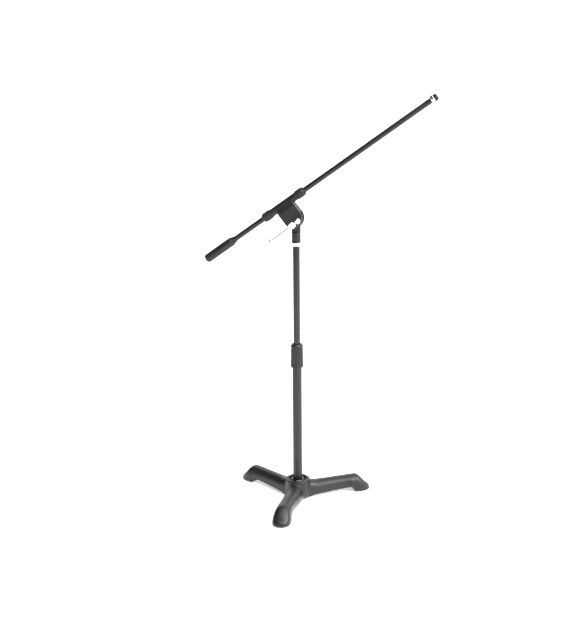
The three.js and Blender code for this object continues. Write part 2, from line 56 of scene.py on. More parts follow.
MAST = Matrix.Translation((mast_foot.x, mast_foot.y, 0))
SWIVEL = Matrix.Translation(pivot) @ Matrix.Rotation(-tilt, 4, "Y")
BOOM = SWIVEL @ Matrix.Translation((0, 0, BOOM_OFFSET * MM)) @ Matrix.Rotation(TAU / 4, 4, "Y")
BOOM_BACK = BOOM @ Matrix.Rotation(TAU / 2, 4, "X")
PIN = SWIVEL @ Matrix.Rotation(TAU / 4, 4, "X")


# ---------------------------------------------------------------- materials
def new_material(name):
    material = bpy.data.materials.new(name)
    material.use_nodes = True
    tree = material.node_tree
    return material, tree.nodes, tree.links, tree.nodes["Principled BSDF"]


def noise(nodes, links, vector, scale, detail, roughness=0.55):
    node = nodes.new("ShaderNodeTexNoise")
    node.inputs["Scale"].default_value = scale
    node.inputs["Detail"].default_value = detail
    node.inputs["Roughness"].default_value = roughness
    links.new(vector, node.inputs["Vector"])
    return node.outputs["Fac"]


def spread(nodes, links, value, low, high, start=0.3, end=0.7, interpolation="LINEAR"):
    """The value between start and end, brought between low and high."""
    node = nodes.new("ShaderNodeMapRange")
    node.interpolation_type = interpolation
    node.inputs["From Min"].default_value = start
    node.inputs["From Max"].default_value = end
    node.inputs["To Min"].default_value = low
    node.inputs["To Max"].default_value = high
    links.new(value, node.inputs["Value"])
    return node.outputs["Result"]


def blend_colour(nodes, links, factor, first, second):
    node = nodes.new("ShaderNodeMix")
    node.data_type = "RGBA"
    links.new(factor, node.inputs[0])
    for socket, colour in ((node.inputs[6], first), (node.inputs[7], second)):
        if isinstance(colour, tuple):
            socket.default_value = (*colour, 1)
        else:
            links.new(colour, socket)
    return node.outputs[2]


def combined(nodes, links, operation, *terms):
    """Sockets and plain numbers put through one sum or product."""
    node = nodes.new("ShaderNodeMath")
    node.operation = operation
    for socket, term in zip(node.inputs, terms):
        if isinstance(term, float):
            socket.default_value = term
        else:
            links.new(term, socket)
    return node.outputs[0]


SCUFF_SCALE = 260.0
GRAIN_IN_GLOSS = 0.5
PIT_RELIEF = 0.8


def finish(name, colour, roughness, *, grain, bump, depth, blotch, wear, metallic=0.0, specular=0.5,
           variation=0.25, rough_variation=0.12, wear_from=0.53, wear_to=0.6, stretch=None,
           pits=0.0):
    """A procedural finish: blotchy tone and gloss, a fine grain, and rubbed edges."""
    material, nodes, links, shader = new_material(name)
    vector = nodes.new("ShaderNodeTexCoord").outputs["Object"]
    grain_vector = vector
    if stretch is not None:
        mapping = nodes.new("ShaderNodeMapping")
        mapping.vector_type = "TEXTURE"
        mapping.inputs["Rotation"].default_value = stretch[0]
        mapping.inputs["Scale"].default_value = stretch[1]
        links.new(vector, mapping.inputs["Vector"])
        grain_vector = mapping.outputs["Vector"]
    broad = noise(nodes, links, vector, blotch, 3.0)
    fine = noise(nodes, links, grain_vector, grain, 5.0, 0.6)
    darker = tuple(c * (1 - variation) for c in colour)
    lighter = tuple(min(1.0, c * (1 + variation)) for c in colour)
    tone = blend_colour(nodes, links, spread(nodes, links, broad, 0, 1), darker, lighter)
    gloss = spread(nodes, links, combined(nodes, links, "MULTIPLY_ADD", fine, GRAIN_IN_GLOSS, broad),
                   max(0.02, roughness - rough_variation), min(1.0, roughness + rough_variation),
                   0.45, 1.05)
    raised = nodes.new("ShaderNodeNewGeometry").outputs["Pointiness"]
    edge = spread(nodes, links, raised, 0.0, 1.0, wear_from, wear_to)
    scuff = noise(nodes, links, vector, SCUFF_SCALE, 4.0, 0.7)
    patches = spread(nodes, links, scuff, 0.0, 1.0, 0.4, 0.62)
    rubbed = combined(nodes, links, "MULTIPLY", edge, patches)
    tone = blend_colour(nodes, links, rubbed, tone, wear)
    links.new(tone, shader.inputs["Base Color"])
    links.new(gloss, shader.inputs["Roughness"])
    shader.inputs["Metallic"].default_value = metallic
    shader.inputs["Specular IOR Level"].default_value = specular
    height = fine
    if pits:
        cells = nodes.new("ShaderNodeTexVoronoi")
        cells.inputs["Scale"].default_value = pits
        links.new(vector, cells.inputs["Vector"])
        height = combined(nodes, links, "MULTIPLY_ADD", cells.outputs["Distance"], PIT_RELIEF, fine)
    relief = nodes.new("ShaderNodeBump")
    relief.inputs["Strength"].default_value = bump
    relief.inputs["Distance"].default_value = depth
    links.new(height, relief.inputs["Height"])
    links.new(relief.outputs["Normal"], shader.inputs["Normal"])
    return material


ALONG_MAST = ((0, 0, 0), (1, 1, 14))
ALONG_BOOM = ((0, -tilt, 0), (14, 1, 1))
DARK_METAL = (0.16, 0.16, 0.165)
FINISHES = {
    "cast_iron": finish(
        "cast_iron_paint", (0.008, 0.008, 0.0085), 0.36, specular=0.34,
        grain=520, bump=0.35, depth=0.0006, blotch=24, wear=(0.075, 0.075, 0.078),
        wear_from=0.54, wear_to=0.62, pits=420),
    "rubber": finish(
        "pad_rubber", (0.018, 0.018, 0.018), 0.82, specular=0.3, grain=1500, bump=0.3,
        depth=0.0002, blotch=60, wear=(0.05, 0.05, 0.05)),
    "zinc_plate": finish(
        "zinc_plating", (0.44, 0.44, 0.45), 0.3, metallic=1.0, grain=1600, bump=0.08,
        depth=0.0001, blotch=80, variation=0.12, wear=(0.6, 0.6, 0.6)),
    "mast_tube": finish(
        "mast_satin_black", (0.008, 0.008, 0.0085), 0.3, specular=0.34,
        grain=1100, bump=0.10, depth=0.00012, blotch=26, stretch=ALONG_MAST,
        wear=DARK_METAL, wear_from=0.56, wear_to=0.66),
    "boom_tube": finish(
        "boom_satin_black", (0.006, 0.006, 0.0065), 0.32, specular=0.34,
        grain=1100, bump=0.10, depth=0.00012, blotch=26, stretch=ALONG_BOOM,
        wear=DARK_METAL, wear_from=0.56, wear_to=0.66),
    "black_plastic": finish(
        "moulded_plastic", (0.007, 0.007, 0.0075), 0.42, specular=0.3, grain=1900, bump=0.22,
        depth=0.00012, blotch=70, wear=(0.055, 0.055, 0.057), wear_from=0.54, wear_to=0.64),
    "black_casting": finish(
        "powder_coat", (0.006, 0.006, 0.0065), 0.44, specular=0.32, grain=1500, bump=0.4,
        depth=0.0002, blotch=50, wear=(0.09, 0.09, 0.092), wear_from=0.545, wear_to=0.63, pits=1300),
    "nylon": finish(
        "natural_nylon", (0.62, 0.61, 0.55), 0.5, specular=0.5, grain=1300, bump=0.12,
        depth=0.0001, blotch=90, variation=0.08, wear=(0.7, 0.69, 0.64)),
    "black_oxide": finish(
        "black_oxide_steel", (0.045, 0.045, 0.047), 0.2, metallic=1.0, grain=1500, bump=0.06,
        depth=0.0001, blotch=70, variation=0.2, rough_variation=0.08, wear=(0.2, 0.2, 0.2)),
    "bar_steel": finish(
        "turned_steel", (0.42, 0.42, 0.43), 0.1, metallic=1.0, grain=1200, bump=0.05,
        depth=0.00005, blotch=60, variation=0.08, rough_variation=0.04, wear=(0.5, 0.5, 0.5)),
    "chrome": finish(
        "chrome_plate", (0.86, 0.86, 0.87), 0.07, metallic=1.0, grain=700, bump=0.03,
        depth=0.00005, blotch=45, variation=0.04, rough_variation=0.04, wear=(0.9, 0.9, 0.9)),
}


# ---------------------------------------------------------------- mesh builders
SHARP_ANGLE = 38.0
CAST_SHARP_ANGLE = 50.0


def mesh_object(name, points, faces, place, sharp=SHARP_ANGLE):
    mesh = bpy.data.meshes.new(name)
    mesh.from_pydata([tuple(p) for p in points], [], faces)
    mesh.transform(place @ Matrix.Scale(MM, 4))
    mesh.validate()
    shade(mesh, sharp)
    obj = bpy.data.objects.new(name, mesh)
    bpy.context.scene.collection.objects.link(obj)
    return obj


def shade(mesh, sharp):
    """Smooth shading, broken where faces meet at more than the sharp angle in degrees."""
    mesh.shade_smooth()
    mesh.set_sharp_from_angle(angle=math.radians(sharp))


def eased(profile, radius, steps=4):
    """The profile with each corner off the axis rounded."""
    looped = profile[0][0] > 0
    out = []
    for i, point in enumerate(profile):
        here = Vector(point)
        if not looped and i in (0, len(profile) - 1):
            out.append(tuple(here))
            continue
        back = Vector(profile[i - 1]) - here
        ahead = Vector(profile[(i + 1) % len(profile)]) - here
        reach = min(radius, back.length * 0.45, ahead.length * 0.45)
        start, end = here + back.normalized() * reach, here + ahead.normalized() * reach
        for k in range(steps + 1):
            t = k / steps
            out.append(tuple(start * (1 - t) ** 2 + here * (2 * t * (1 - t)) + end * t ** 2))
    return out


def finer(profile, step):
    """The profile with its long straight stretches divided."""
    looped = profile[0][0] > 0
    out = []
    count = len(profile) if looped else len(profile) - 1
    for i in range(count):
        a, b = Vector(profile[i]), Vector(profile[(i + 1) % len(profile)])
        parts = max(1, math.ceil((b - a).length / step))
        out += [tuple(a.lerp(b, k / parts)) for k in range(parts)]
    if not looped:
        out.append(profile[-1])
    return out


def lathe(name, profile, place, segments=96, relief=None, sharp=SHARP_ANGLE):
    """A closed solid of [radius, height] points turned about Z; relief moves points off the round."""
    looped = profile[0][0] > 0
    points, rings = [], []
    for r, z in profile:
        if r <= 1e-6:
            rings.append([len(points)])
            points.append((0, 0, z))
            continue
        rings.append(list(range(len(points), len(points) + segments)))
        for k in range(segments):
            angle = TAU * k / segments
            rr, zz = relief(angle, r, z) if relief else (r, z)
            points.append((rr * math.cos(angle), rr * math.sin(angle), zz))
    faces = []
    count = len(rings) if looped else len(rings) - 1
    for i in range(count):
        low, high = rings[i], rings[(i + 1) % len(rings)]
        if len(low) == 1 and len(high) == 1:
            continue
        for k in range(segments):
            n = (k + 1) % segments
            if len(low) == 1:
                faces.append((low[0], high[n], high[k]))
            elif len(high) == 1:
                faces.append((low[k], low[n], high[0]))
            else:
                faces.append((low[k], low[n], high[n], high[k]))
    obj = mesh_object(name, points, faces, place, sharp)
    outward(obj)
    return obj


def outward(obj):
    """Faces turned outward, judged by the signed volume."""
    mesh = obj.data
    volume = 0.0
    for polygon in mesh.polygons:
        corners = [mesh.vertices[v].co for v in polygon.vertices]
        for k in range(1, len(corners) - 1):
            volume += corners[0].dot(corners[k].cross(corners[k + 1]))
    if volume < 0:
        mesh.flip_normals()


def loft(name, sections, place):
    """A closed skin over sections of equal point counts."""
    count = len(sections[0])
    points = [p for section in sections for p in section]
    faces = []
    for s in range(len(sections) - 1):
        for i in range(count):
            n = (i + 1) % count
            faces.append((s * count + i, s * count + n, (s + 1) * count + n, (s + 1) * count + i))
    faces.append(tuple(reversed(range(count))))
    last = (len(sections) - 1) * count
    faces.append(tuple(range(last, last + count)))
    obj = mesh_object(name, points, faces, place)
    outward(obj)
    return obj


def apply_modifiers(obj):
    """Makes what obj's modifiers do part of its mesh."""
    graph = bpy.context.evaluated_depsgraph_get()
    made = bpy.data.meshes.new_from_object(obj.evaluated_get(graph))
    obj.modifiers.clear()
    obj.data = made


def cast(name, solids, voxel, softening):
    """Solids grown into one skin with soft inner corners, as a casting has."""
    points, faces = [], []
    for solid in solids:
        start = len(points)
        points += [v.co / MM for v in solid.data.vertices]
        faces += [tuple(start + v for v in p.vertices) for p in solid.data.polygons]
        bpy.data.objects.remove(solid)
    obj = mesh_object(name, points, faces, Matrix.Identity(4))
    remesh = obj.modifiers.new("skin", "REMESH")
    remesh.mode = "VOXEL"
    remesh.voxel_size = voxel * MM
    soften = obj.modifiers.new("soften", "SMOOTH")
    soften.factor = 0.5
    soften.iterations = softening
    apply_modifiers(obj)
    shade(obj.data, CAST_SHARP_ANGLE)
    return obj


def cut_by(obj, tools, operation):
    """Works each tool's shape into obj and removes the tools."""
    for tool in tools:
        cut = obj.modifiers.new("cut", "BOOLEAN")
        cut.operation = operation
        cut.solver = "MANIFOLD"
        cut.object = tool
    apply_modifiers(obj)
    for tool in tools:
        bpy.data.objects.remove(tool)


def machined(obj, cutters, sharp=SHARP_ANGLE):
    """obj with each cutter's shape taken away."""
    cut_by(obj, cutters, "DIFFERENCE")
    shade(obj.data, sharp)
    return obj


def prism(name, outline, depth, place):
    """A closed outline in local X and Y, from Z = 0 to the depth."""
    sections = [[(x, y, 0.0) for x, y in outline], [(x, y, depth) for x, y in outline]]
    return loft(name, sections, place)


def box_solid(name, x, y, z, place):
    half_x, half_y = x / 2, y / 2
    outline = [(-half_x, -half_y), (half_x, -half_y), (half_x, half_y), (-half_x, half_y)]
    return prism(name, outline, z, place @ Matrix.Translation((0, 0, -z / 2 * MM)))


def moved(place, x=0.0, y=0.0, z=0.0):
    return place @ Matrix.Translation((x * MM, y * MM, z * MM))


def place_piece(obj, body, nodes, material):
    """obj rides on its body and stands for its CAD nodes."""
    obj.data.materials.clear()
    obj.data.materials.append(FINISHES[material])
    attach(obj, body)
    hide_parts(*nodes)


# ---------------------------------------------------------------- base
LEG_REACH, LEG_RIM, LEG_WALL = 181.5, 1.4, 7.0
LEG_HALF_AT_HUB, LEG_HALF_AT_WAIST, LEG_HALF_AT_FOOT = 20.5, 18.4, 21.6
LEG_TOP_AT_HUB, LEG_TOP_AT_FOOT, LEG_ROOT_RISE = 38.0, 41.0, 4.0
LEG_ARCH_AT_HUB, LEG_ARCH_AT_FOOT, FOOT_START = 7.5, 14.0, 140.0
SLOPE_START, TOE_HEIGHT, TOE_LENGTH, TOE_ROUND = 145.0, 15.5, 10.0, 24.0
TOE_SIDE_POWER, TOE_TOP_POWER = 0.42, 0.35
FIRST_LEG_ANGLE = 29.7
SECTION_STEP, NOSE_SECTIONS, NOSE_TURN = 4.0, 28, 1.52
SECTION_SIDES, SECTION_POWER = 36, 0.74
HUB_RADIUS, HUB_TOP, HUB_RECESS_RADIUS, HUB_RECESS_DEPTH = 29.5, 48.6, 21.0, 5.0
HUB_WEB_TOP, HUB_WEB_BOTTOM = 18.0, 10.0
PAD_RADIUS, PAD_HEIGHT, PAD_DISTANCE = 8.0, 6.0, 157.0
PAD_DIMPLE_RADIUS, PAD_DIMPLE_DEPTH = 2.6, 0.6
PAD_GROOVE_INNER, PAD_GROOVE_OUTER, PAD_GROOVE_DEPTH = 4.4, 6.0, 0.5
COLLAR_RADIUS, COLLAR_LIP_RADIUS, COLLAR_SHOULDER, COLLAR_HEIGHT = 16.5, 15.2, 3.0, 4.6
BOLT_HOLE, BOLT_RADIUS, BOLT_ABOVE_WEB, BOLT_HEAD_HEIGHT, HEXAGON_FLATS = 4.3, 4.0, 20.0, 5.3, 13.0
WASHER_RADIUS, WASHER_THICKNESS = 15.0, 2.0
TUBE_RADIUS, TUBE_WALL, TUBE_TOP = 11.1, 1.5, 346.0
GAP = 0.3


def smoothstep(x, low, high):
    t = min(1.0, max(0.0, (x - low) / (high - low)))
    return t * t * (3 - 2 * t)


def leg_section(distance):
    """Half width, underside and top of a leg at a distance from the mast axis."""
    half = LEG_HALF_AT_WAIST
    half += (LEG_HALF_AT_HUB - LEG_HALF_AT_WAIST) * (1 - smoothstep(distance, 30, 95))
    half += (LEG_HALF_AT_FOOT - LEG_HALF_AT_WAIST) * smoothstep(distance, 110, 160)
    half *= rounding(distance, TOE_ROUND, TOE_SIDE_POWER)
    raised = smoothstep(distance, 12, 40) - smoothstep(distance, FOOT_START - 8, FOOT_START)
    share = (distance - 40) / (FOOT_START - 48)
    arch = LEG_ARCH_AT_HUB + (LEG_ARCH_AT_FOOT - LEG_ARCH_AT_HUB) * share
    bottom = LEG_RIM + (arch - LEG_RIM) * raised
    rise = (distance - HUB_RADIUS) / (SLOPE_START - HUB_RADIUS)
    crest = min(LEG_TOP_AT_FOOT, LEG_TOP_AT_HUB + (LEG_TOP_AT_FOOT - LEG_TOP_AT_HUB) * rise)
    crest += LEG_ROOT_RISE * (1 - smoothstep(distance, HUB_RADIUS - 4, HUB_RADIUS + 18))
    slope = smoothstep(distance, SLOPE_START, LEG_REACH - 3)
    top = crest + (TOE_HEIGHT - crest) * slope
    return half, bottom, LEG_RIM + (top - LEG_RIM) * rounding(distance, TOE_LENGTH, TOE_TOP_POWER)


def rounding(distance, length, power):
    """The share left of a leg's width or height where its last stretch rounds off."""
    along = max(0.0, (distance - (LEG_REACH - length)) / length)
    return max(0.0, 1 - along * along) ** power


def inverted_u(distance, half, bottom, top):
    """A leg's outline across its length: a squared arch over a flat underside."""
    outline = []
    for i in range(SECTION_SIDES + 1):
        angle = math.pi * i / SECTION_SIDES
        side = math.cos(angle)
        y = -half * math.copysign(abs(side) ** SECTION_POWER, side)
        rise = max(0.0, math.sin(angle)) ** SECTION_POWER
        outline.append((distance, y, bottom + (top - bottom) * rise))
    return outline


def leg_place(index):
    return MAST @ Matrix.Rotation(math.radians(FIRST_LEG_ANGLE + 120 * index), 4, "Z")


def leg_solid(index):
    straight = [k * SECTION_STEP for k in range(int((LEG_REACH - TOE_ROUND) // SECTION_STEP))]
    nose = [LEG_REACH - TOE_ROUND * (1 - math.sin(k / NOSE_SECTIONS * NOSE_TURN))
            for k in range(NOSE_SECTIONS + 1)]
    sections = [inverted_u(d, *leg_section(d)) for d in straight + nose]
    return loft(f"leg_{index}", sections, leg_place(index))


def hollow_solid(index):
    half = LEG_HALF_AT_WAIST - LEG_WALL + 1
    ends = (HUB_RADIUS + 4, FOOT_START - 6)
    sections = [inverted_u(d, half, -1, LEG_TOP_AT_HUB - LEG_WALL) for d in ends]
    return loft(f"hollow_{index}", sections, leg_place(index))


def pad_pocket(index):
    radius = PAD_RADIUS + GAP
    profile = [(0, -1), (radius, -1), (radius, PAD_HEIGHT + GAP), (0, PAD_HEIGHT + GAP)]
    return lathe(f"pocket_{index}", profile, moved(leg_place(index), PAD_DISTANCE), 48)


hub = lathe("hub", eased([
    (0, LEG_RIM + 2), (HUB_RADIUS - 1, LEG_RIM + 2), (HUB_RADIUS + 0.8, 12), (HUB_RADIUS, 40),
    (HUB_RADIUS, HUB_TOP), (0, HUB_TOP)], 1.6), MAST)
base = cast("base_casting_skin", [hub] + [leg_solid(i) for i in range(3)],
            voxel=1.15, softening=28)
hub_floor = HUB_TOP - HUB_RECESS_DEPTH
bore = TUBE_RADIUS + GAP
hub_cutters = [
    lathe("bore", [(0, HUB_WEB_TOP), (bore, HUB_WEB_TOP), (bore, hub_floor + 1), (0, hub_floor + 1)],
          MAST),
    lathe("recess", [(0, hub_floor), (HUB_RECESS_RADIUS, hub_floor),
                     (HUB_RECESS_RADIUS, HUB_TOP - 1.2), (HUB_RECESS_RADIUS + 1.6, HUB_TOP + 0.6),
                     (0, HUB_TOP + 0.6)], MAST),
    lathe("bolt_hole", [(0, HUB_WEB_BOTTOM - 1), (BOLT_HOLE, HUB_WEB_BOTTOM - 1),
                        (BOLT_HOLE, HUB_WEB_TOP + 1), (0, HUB_WEB_TOP + 1)], MAST, 48),
    lathe("under_relief", [(0, -1), (HUB_RADIUS - 8, -1), (HUB_RADIUS - 8, HUB_WEB_BOTTOM),
                           (0, HUB_WEB_BOTTOM)], MAST),
]
leg_cutters = [cutter(i) for i in range(3) for cutter in (hollow_solid, pad_pocket)]
machined(base, hub_cutters + leg_cutters, sharp=42)
place_piece(base, "base", ["base_casting"], "cast_iron")

for i in range(3):
    pad = lathe(f"foot_pad_{i + 1}_rubber", eased([
        (0, PAD_DIMPLE_DEPTH), (PAD_DIMPLE_RADIUS, PAD_DIMPLE_DEPTH), (PAD_DIMPLE_RADIUS + 0.3, 0),
        (PAD_GROOVE_INNER, 0), (PAD_GROOVE_INNER + 0.3, PAD_GROOVE_DEPTH),
        (PAD_GROOVE_OUTER - 0.3, PAD_GROOVE_DEPTH), (PAD_GROOVE_OUTER, 0), (PAD_RADIUS - 0.7, 0),
        (PAD_RADIUS, 0.8), (PAD_RADIUS, PAD_HEIGHT - 0.4), (PAD_RADIUS - 0.4, PAD_HEIGHT),
        (0, PAD_HEIGHT)], 0.25),
        moved(leg_place(i), PAD_DISTANCE), 64)
    place_piece(pad, "base", [f"foot_pad_{i + 1}"], "rubber")

collar = lathe("hub_collar_ring", eased([
    (bore, hub_floor + GAP), (COLLAR_RADIUS, hub_floor + GAP),
    (COLLAR_RADIUS, hub_floor + COLLAR_SHOULDER), (COLLAR_LIP_RADIUS, hub_floor + COLLAR_HEIGHT),
    (bore, hub_floor + COLLAR_HEIGHT)], 0.5), MAST)
place_piece(collar, "base", ["hub_collar"], "black_oxide")

washer_top = HUB_WEB_BOTTOM - GAP
washer_low = washer_top - WASHER_THICKNESS
washer = lathe("base_washer_disc", eased([
    (BOLT_HOLE, washer_low), (WASHER_RADIUS, washer_low), (WASHER_RADIUS, washer_top),
    (BOLT_HOLE, washer_top)], 0.4), MAST, 72)
place_piece(washer, "base", ["base_washer"], "zinc_plate")


CHAMFER_SLOPE = 0.55


def hexagon_solid(name, flats, low, high, place, bore_radius=None):
    """A hexagon head or nut with its chamfered corners."""
    corner = flats / math.sqrt(3)
    outline = [(corner * math.cos(TAU * k / 6), corner * math.sin(TAU * k / 6)) for k in range(6)]
    head = prism(name, outline, high - low, moved(place, z=low))
    rim, flat = corner + 3, flats / 2 - 0.2
    cutters = []
    for face, sign in ((low, 1), (high, -1)):
        cutters.append(lathe("chamfer", [
            (flat, face - sign * 0.5), (rim, face - sign * 0.5),
            (rim, face + sign * (rim - flat) * CHAMFER_SLOPE), (flat, face)], place))
    if bore_radius:
        cutters.append(lathe("bore", [(0, low - 1), (bore_radius, low - 1), (bore_radius, high + 1),
                                      (0, high + 1)], place, 48))
    return machined(head, cutters, 30)


bolt_top = washer_low - GAP
bolt_head = hexagon_solid("base_bolt_head", HEXAGON_FLATS, bolt_top - BOLT_HEAD_HEIGHT, bolt_top, MAST)
shank_low, shank_high = bolt_top + 0.05, HUB_WEB_TOP + BOLT_ABOVE_WEB


def thread_relief(low, high, pitch, cut):
    """A screw thread between two heights, fading in at each end."""
    def relief(angle, r, z):
        inside = smoothstep(z, low, low + pitch) * (1 - smoothstep(z, high - pitch, high))
        phase = (z / pitch - angle / TAU) % 1.0
        return r - cut * inside * abs(2 * phase - 1), z
    return relief


bolt_shank = lathe("base_bolt_shank", finer(eased([
    (0, shank_low), (BOLT_RADIUS, shank_low), (BOLT_RADIUS, shank_high - 0.8),
    (BOLT_RADIUS - 0.8, shank_high), (0, shank_high)], 0.2), 0.35),
    MAST, 32, thread_relief(shank_low + 1, shank_high - 0.8, pitch=1.25, cut=0.5), 60)
place_piece(bolt_head, "base", ["base_bolt"], "zinc_plate")
place_piece(bolt_shank, "base", ["base_bolt"], "zinc_plate")

lower_tube = lathe("lower_tube_steel", eased([
    (TUBE_RADIUS - TUBE_WALL, HUB_WEB_TOP + GAP), (TUBE_RADIUS, HUB_WEB_TOP + GAP),
    (TUBE_RADIUS, TUBE_TOP), (TUBE_RADIUS - TUBE_WALL, TUBE_TOP)], 0.4), MAST, 128)
place_piece(lower_tube, "base", ["lower_tube"], "mast_tube")

# ---------------------------------------------------------------- height clutch
CLUTCH_BOTTOM, CLUTCH_TOP, CLUTCH_RADIUS = 325.0, 382.0, 14.6
SLEEVE_RADIUS, SLEEVE_BOTTOM, SLEEVE_TOP = 12.7, 330.0, 356.0
UPPER_RADIUS, UPPER_WALL, UPPER_BOTTOM, UPPER_TOP = 8.0, 1.3, 284.0, 611.0
FLUTES, FLUTE_DEPTH, FLUTE_SHARE, FLUTE_FULLNESS, FLUTE_FADE = 14, 0.95, 0.36, 0.6, 1.2
FLUTE_LOW, FLUTE_HIGH = CLUTCH_BOTTOM + 7.5, CLUTCH_TOP - 7.0


def clutch_flutes(angle, r, z):
    """Long hollows whose ends are arches."""
    if r < SLEEVE_RADIUS + 0.9:
        return r, z
    across = (angle * FLUTES / TAU) % 1.0 - 0.5
    if abs(across) >= FLUTE_SHARE:
        return r, z
    hollow = 1 - (across / FLUTE_SHARE) ** 2
    arch = TAU * CLUTCH_RADIUS / FLUTES * FLUTE_SHARE * (1 - math.sqrt(hollow))
    inside = smoothstep(z, FLUTE_LOW + arch, FLUTE_LOW + arch + FLUTE_FADE)
    inside *= 1 - smoothstep(z, FLUTE_HIGH - arch - FLUTE_FADE, FLUTE_HIGH - arch)
    return r - FLUTE_DEPTH * hollow ** FLUTE_FULLNESS * inside, z


guide = UPPER_RADIUS + GAP
grip = lathe("clutch_grip_fluted", finer(eased([
    (bore, CLUTCH_BOTTOM), (CLUTCH_RADIUS - 1.4, CLUTCH_BOTTOM),
    (CLUTCH_RADIUS + 0.4, CLUTCH_BOTTOM + 3), (CLUTCH_RADIUS, CLUTCH_BOTTOM + 22),
    (CLUTCH_RADIUS - 0.4, CLUTCH_TOP - 4), (CLUTCH_RADIUS - 2.6, CLUTCH_TOP),
    (guide + GAP, CLUTCH_TOP), (guide + GAP, CLUTCH_TOP - 4), (11.2, CLUTCH_TOP - 5),
    (SLEEVE_RADIUS + GAP, SLEEVE_TOP + 4), (SLEEVE_RADIUS + GAP, SLEEVE_BOTTOM - 1),
    (bore, SLEEVE_BOTTOM - 1.5)], 0.5), 0.6), MAST, 280, clutch_flutes, 60)
place_piece(grip, "clutch_grip", ["clutch_grip"], "black_plastic")

# ---------------------------------------------------------------- mast and swivel post
upper_tube = lathe("upper_tube_steel", eased([
    (UPPER_RADIUS - UPPER_WALL, UPPER_BOTTOM), (UPPER_RADIUS, UPPER_BOTTOM),
    (UPPER_RADIUS, UPPER_TOP), (UPPER_RADIUS - UPPER_WALL, UPPER_TOP)], 0.35), MAST, 128)
place_piece(upper_tube, "mast", ["upper_tube"], "mast_tube")

STUD_RADIUS, STUD_TOP, RING_RADIUS, RING_HEIGHT, POST_RADIUS = 7.9, 640.0, 10.5, 7.8, 10.5
KNURL_TEETH, KNURL_DEPTH = 52, 0.28
TONGUE_HALF, SHOULDER_DROP, PIN_HOLE = 6.0, 22.0, 4.4
ring_low = UPPER_TOP + 2 * GAP
ring_high = ring_low + RING_HEIGHT
post_low = ring_high + GAP
stud_clear = STUD_RADIUS + GAP


def ring_knurl(angle, r, z):
    """Fine upright teeth round the middle of the ring."""
    if r < RING_RADIUS - 0.3:
        return r, z
    band = smoothstep(z, ring_low + 1.2, ring_low + 1.7)
    band *= 1 - smoothstep(z, ring_high - 1.7, ring_high - 1.2)
    return r - KNURL_DEPTH * band * abs(2 * ((angle * KNURL_TEETH / TAU) % 1.0) - 1), z


ring = lathe("lock_ring_knurled", finer(eased([
    (stud_clear, ring_low), (RING_RADIUS - 0.9, ring_low), (RING_RADIUS, ring_low + 0.9),
    (RING_RADIUS, ring_high - 0.9), (RING_RADIUS - 0.9, ring_high), (stud_clear, ring_high)], 0.3), 0.5),
    MAST, 312, ring_knurl, 40)
place_piece(ring, "lock_ring", ["lock_ring"], "chrome")

pivot_z = pivot.z / MM
shoulder = pivot_z - SHOULDER_DROP
POST_PIN = Matrix.Translation(pivot) @ Matrix.Rotation(TAU / 4, 4, "X")
post_body = lathe("post_body", eased([
    (0, post_low), (POST_RADIUS, post_low), (POST_RADIUS, post_low + 2.4),
    (POST_RADIUS - 0.35, post_low + 3.0), (POST_RADIUS - 0.35, shoulder - 1),
    (POST_RADIUS - 1.4, shoulder), (0, shoulder)], 0.5), MAST)
tongue = prism("tongue", [
    (POST_RADIUS * math.cos(math.pi * k / 24), POST_RADIUS * math.sin(math.pi * k / 24))
    for k in range(25)] + [(-POST_RADIUS, -SHOULDER_DROP - 2), (POST_RADIUS, -SHOULDER_DROP - 2)],
    2 * TONGUE_HALF, moved(POST_PIN, z=-TONGUE_HALF))
round_bar = lathe("round_bar", [
    (0, shoulder - 4), (POST_RADIUS - 0.1, shoulder - 4), (POST_RADIUS - 0.1, pivot_z + 20),
    (0, pivot_z + 20)], MAST)
cut_by(tongue, [round_bar], "INTERSECT")
post = cast("swivel_post_casting", [post_body, tongue], voxel=0.42, softening=2)
machined(post, [
    lathe("stud_pocket", [(0, post_low - 1), (stud_clear, post_low - 1), (stud_clear, STUD_TOP + 1),
                          (0, STUD_TOP + 1)], MAST),
    lathe("pivot_hole", [(0, -20), (PIN_HOLE, -20), (PIN_HOLE, 20), (0, 20)], POST_PIN, 48),
])
place_piece(post, "mast", ["swivel_post"], "black_casting")

DISC_THICKNESS, DISC_RADIUS, DISC_GAP = 1.2, 10.0, 0.25
for name, start in (("near", TONGUE_HALF + DISC_GAP), ("far", -TONGUE_HALF - DISC_GAP - DISC_THICKNESS)):
    disc = lathe(f"friction_disc_{name}_ring", eased([
        (PIN_HOLE, start), (DISC_RADIUS, start), (DISC_RADIUS, start + DISC_THICKNESS),
        (PIN_HOLE, start + DISC_THICKNESS)], 0.3), POST_PIN, 72)
    place_piece(disc, "mast", [f"friction_disc_{name}"], "nylon")

# ---------------------------------------------------------------- bracket
BRACKET_HALF, CHEEK_REAR, CHEEK_FRONT, CHEEK_FOOT = 13.5, 20.5, 23.9, 12.4
CHEEK_ROUND_REAR, CHEEK_ROUND_FRONT = 12.0, 14.0
SLOT_ROOF, BARREL_RADIUS, BARREL_HALF, BARREL_BORE, NECK_DROP = 13.5, 9.0, 36.0, 6.5, 15.0
CHEEK_ARC_STEPS = 20
CHEEK_INSET = 0.15


def cheek_quarter(width, round_from, start):
    """A quarter of an ellipse round a cheek's foot, from the start angle in quarter turns."""
    turns = [TAU / 4 * (start + k / CHEEK_ARC_STEPS) for k in range(CHEEK_ARC_STEPS + 1)]
    return [((width - CHEEK_INSET) * math.cos(turn),
             round_from + (CHEEK_FOOT + round_from - CHEEK_INSET) * math.sin(turn)) for turn in turns]


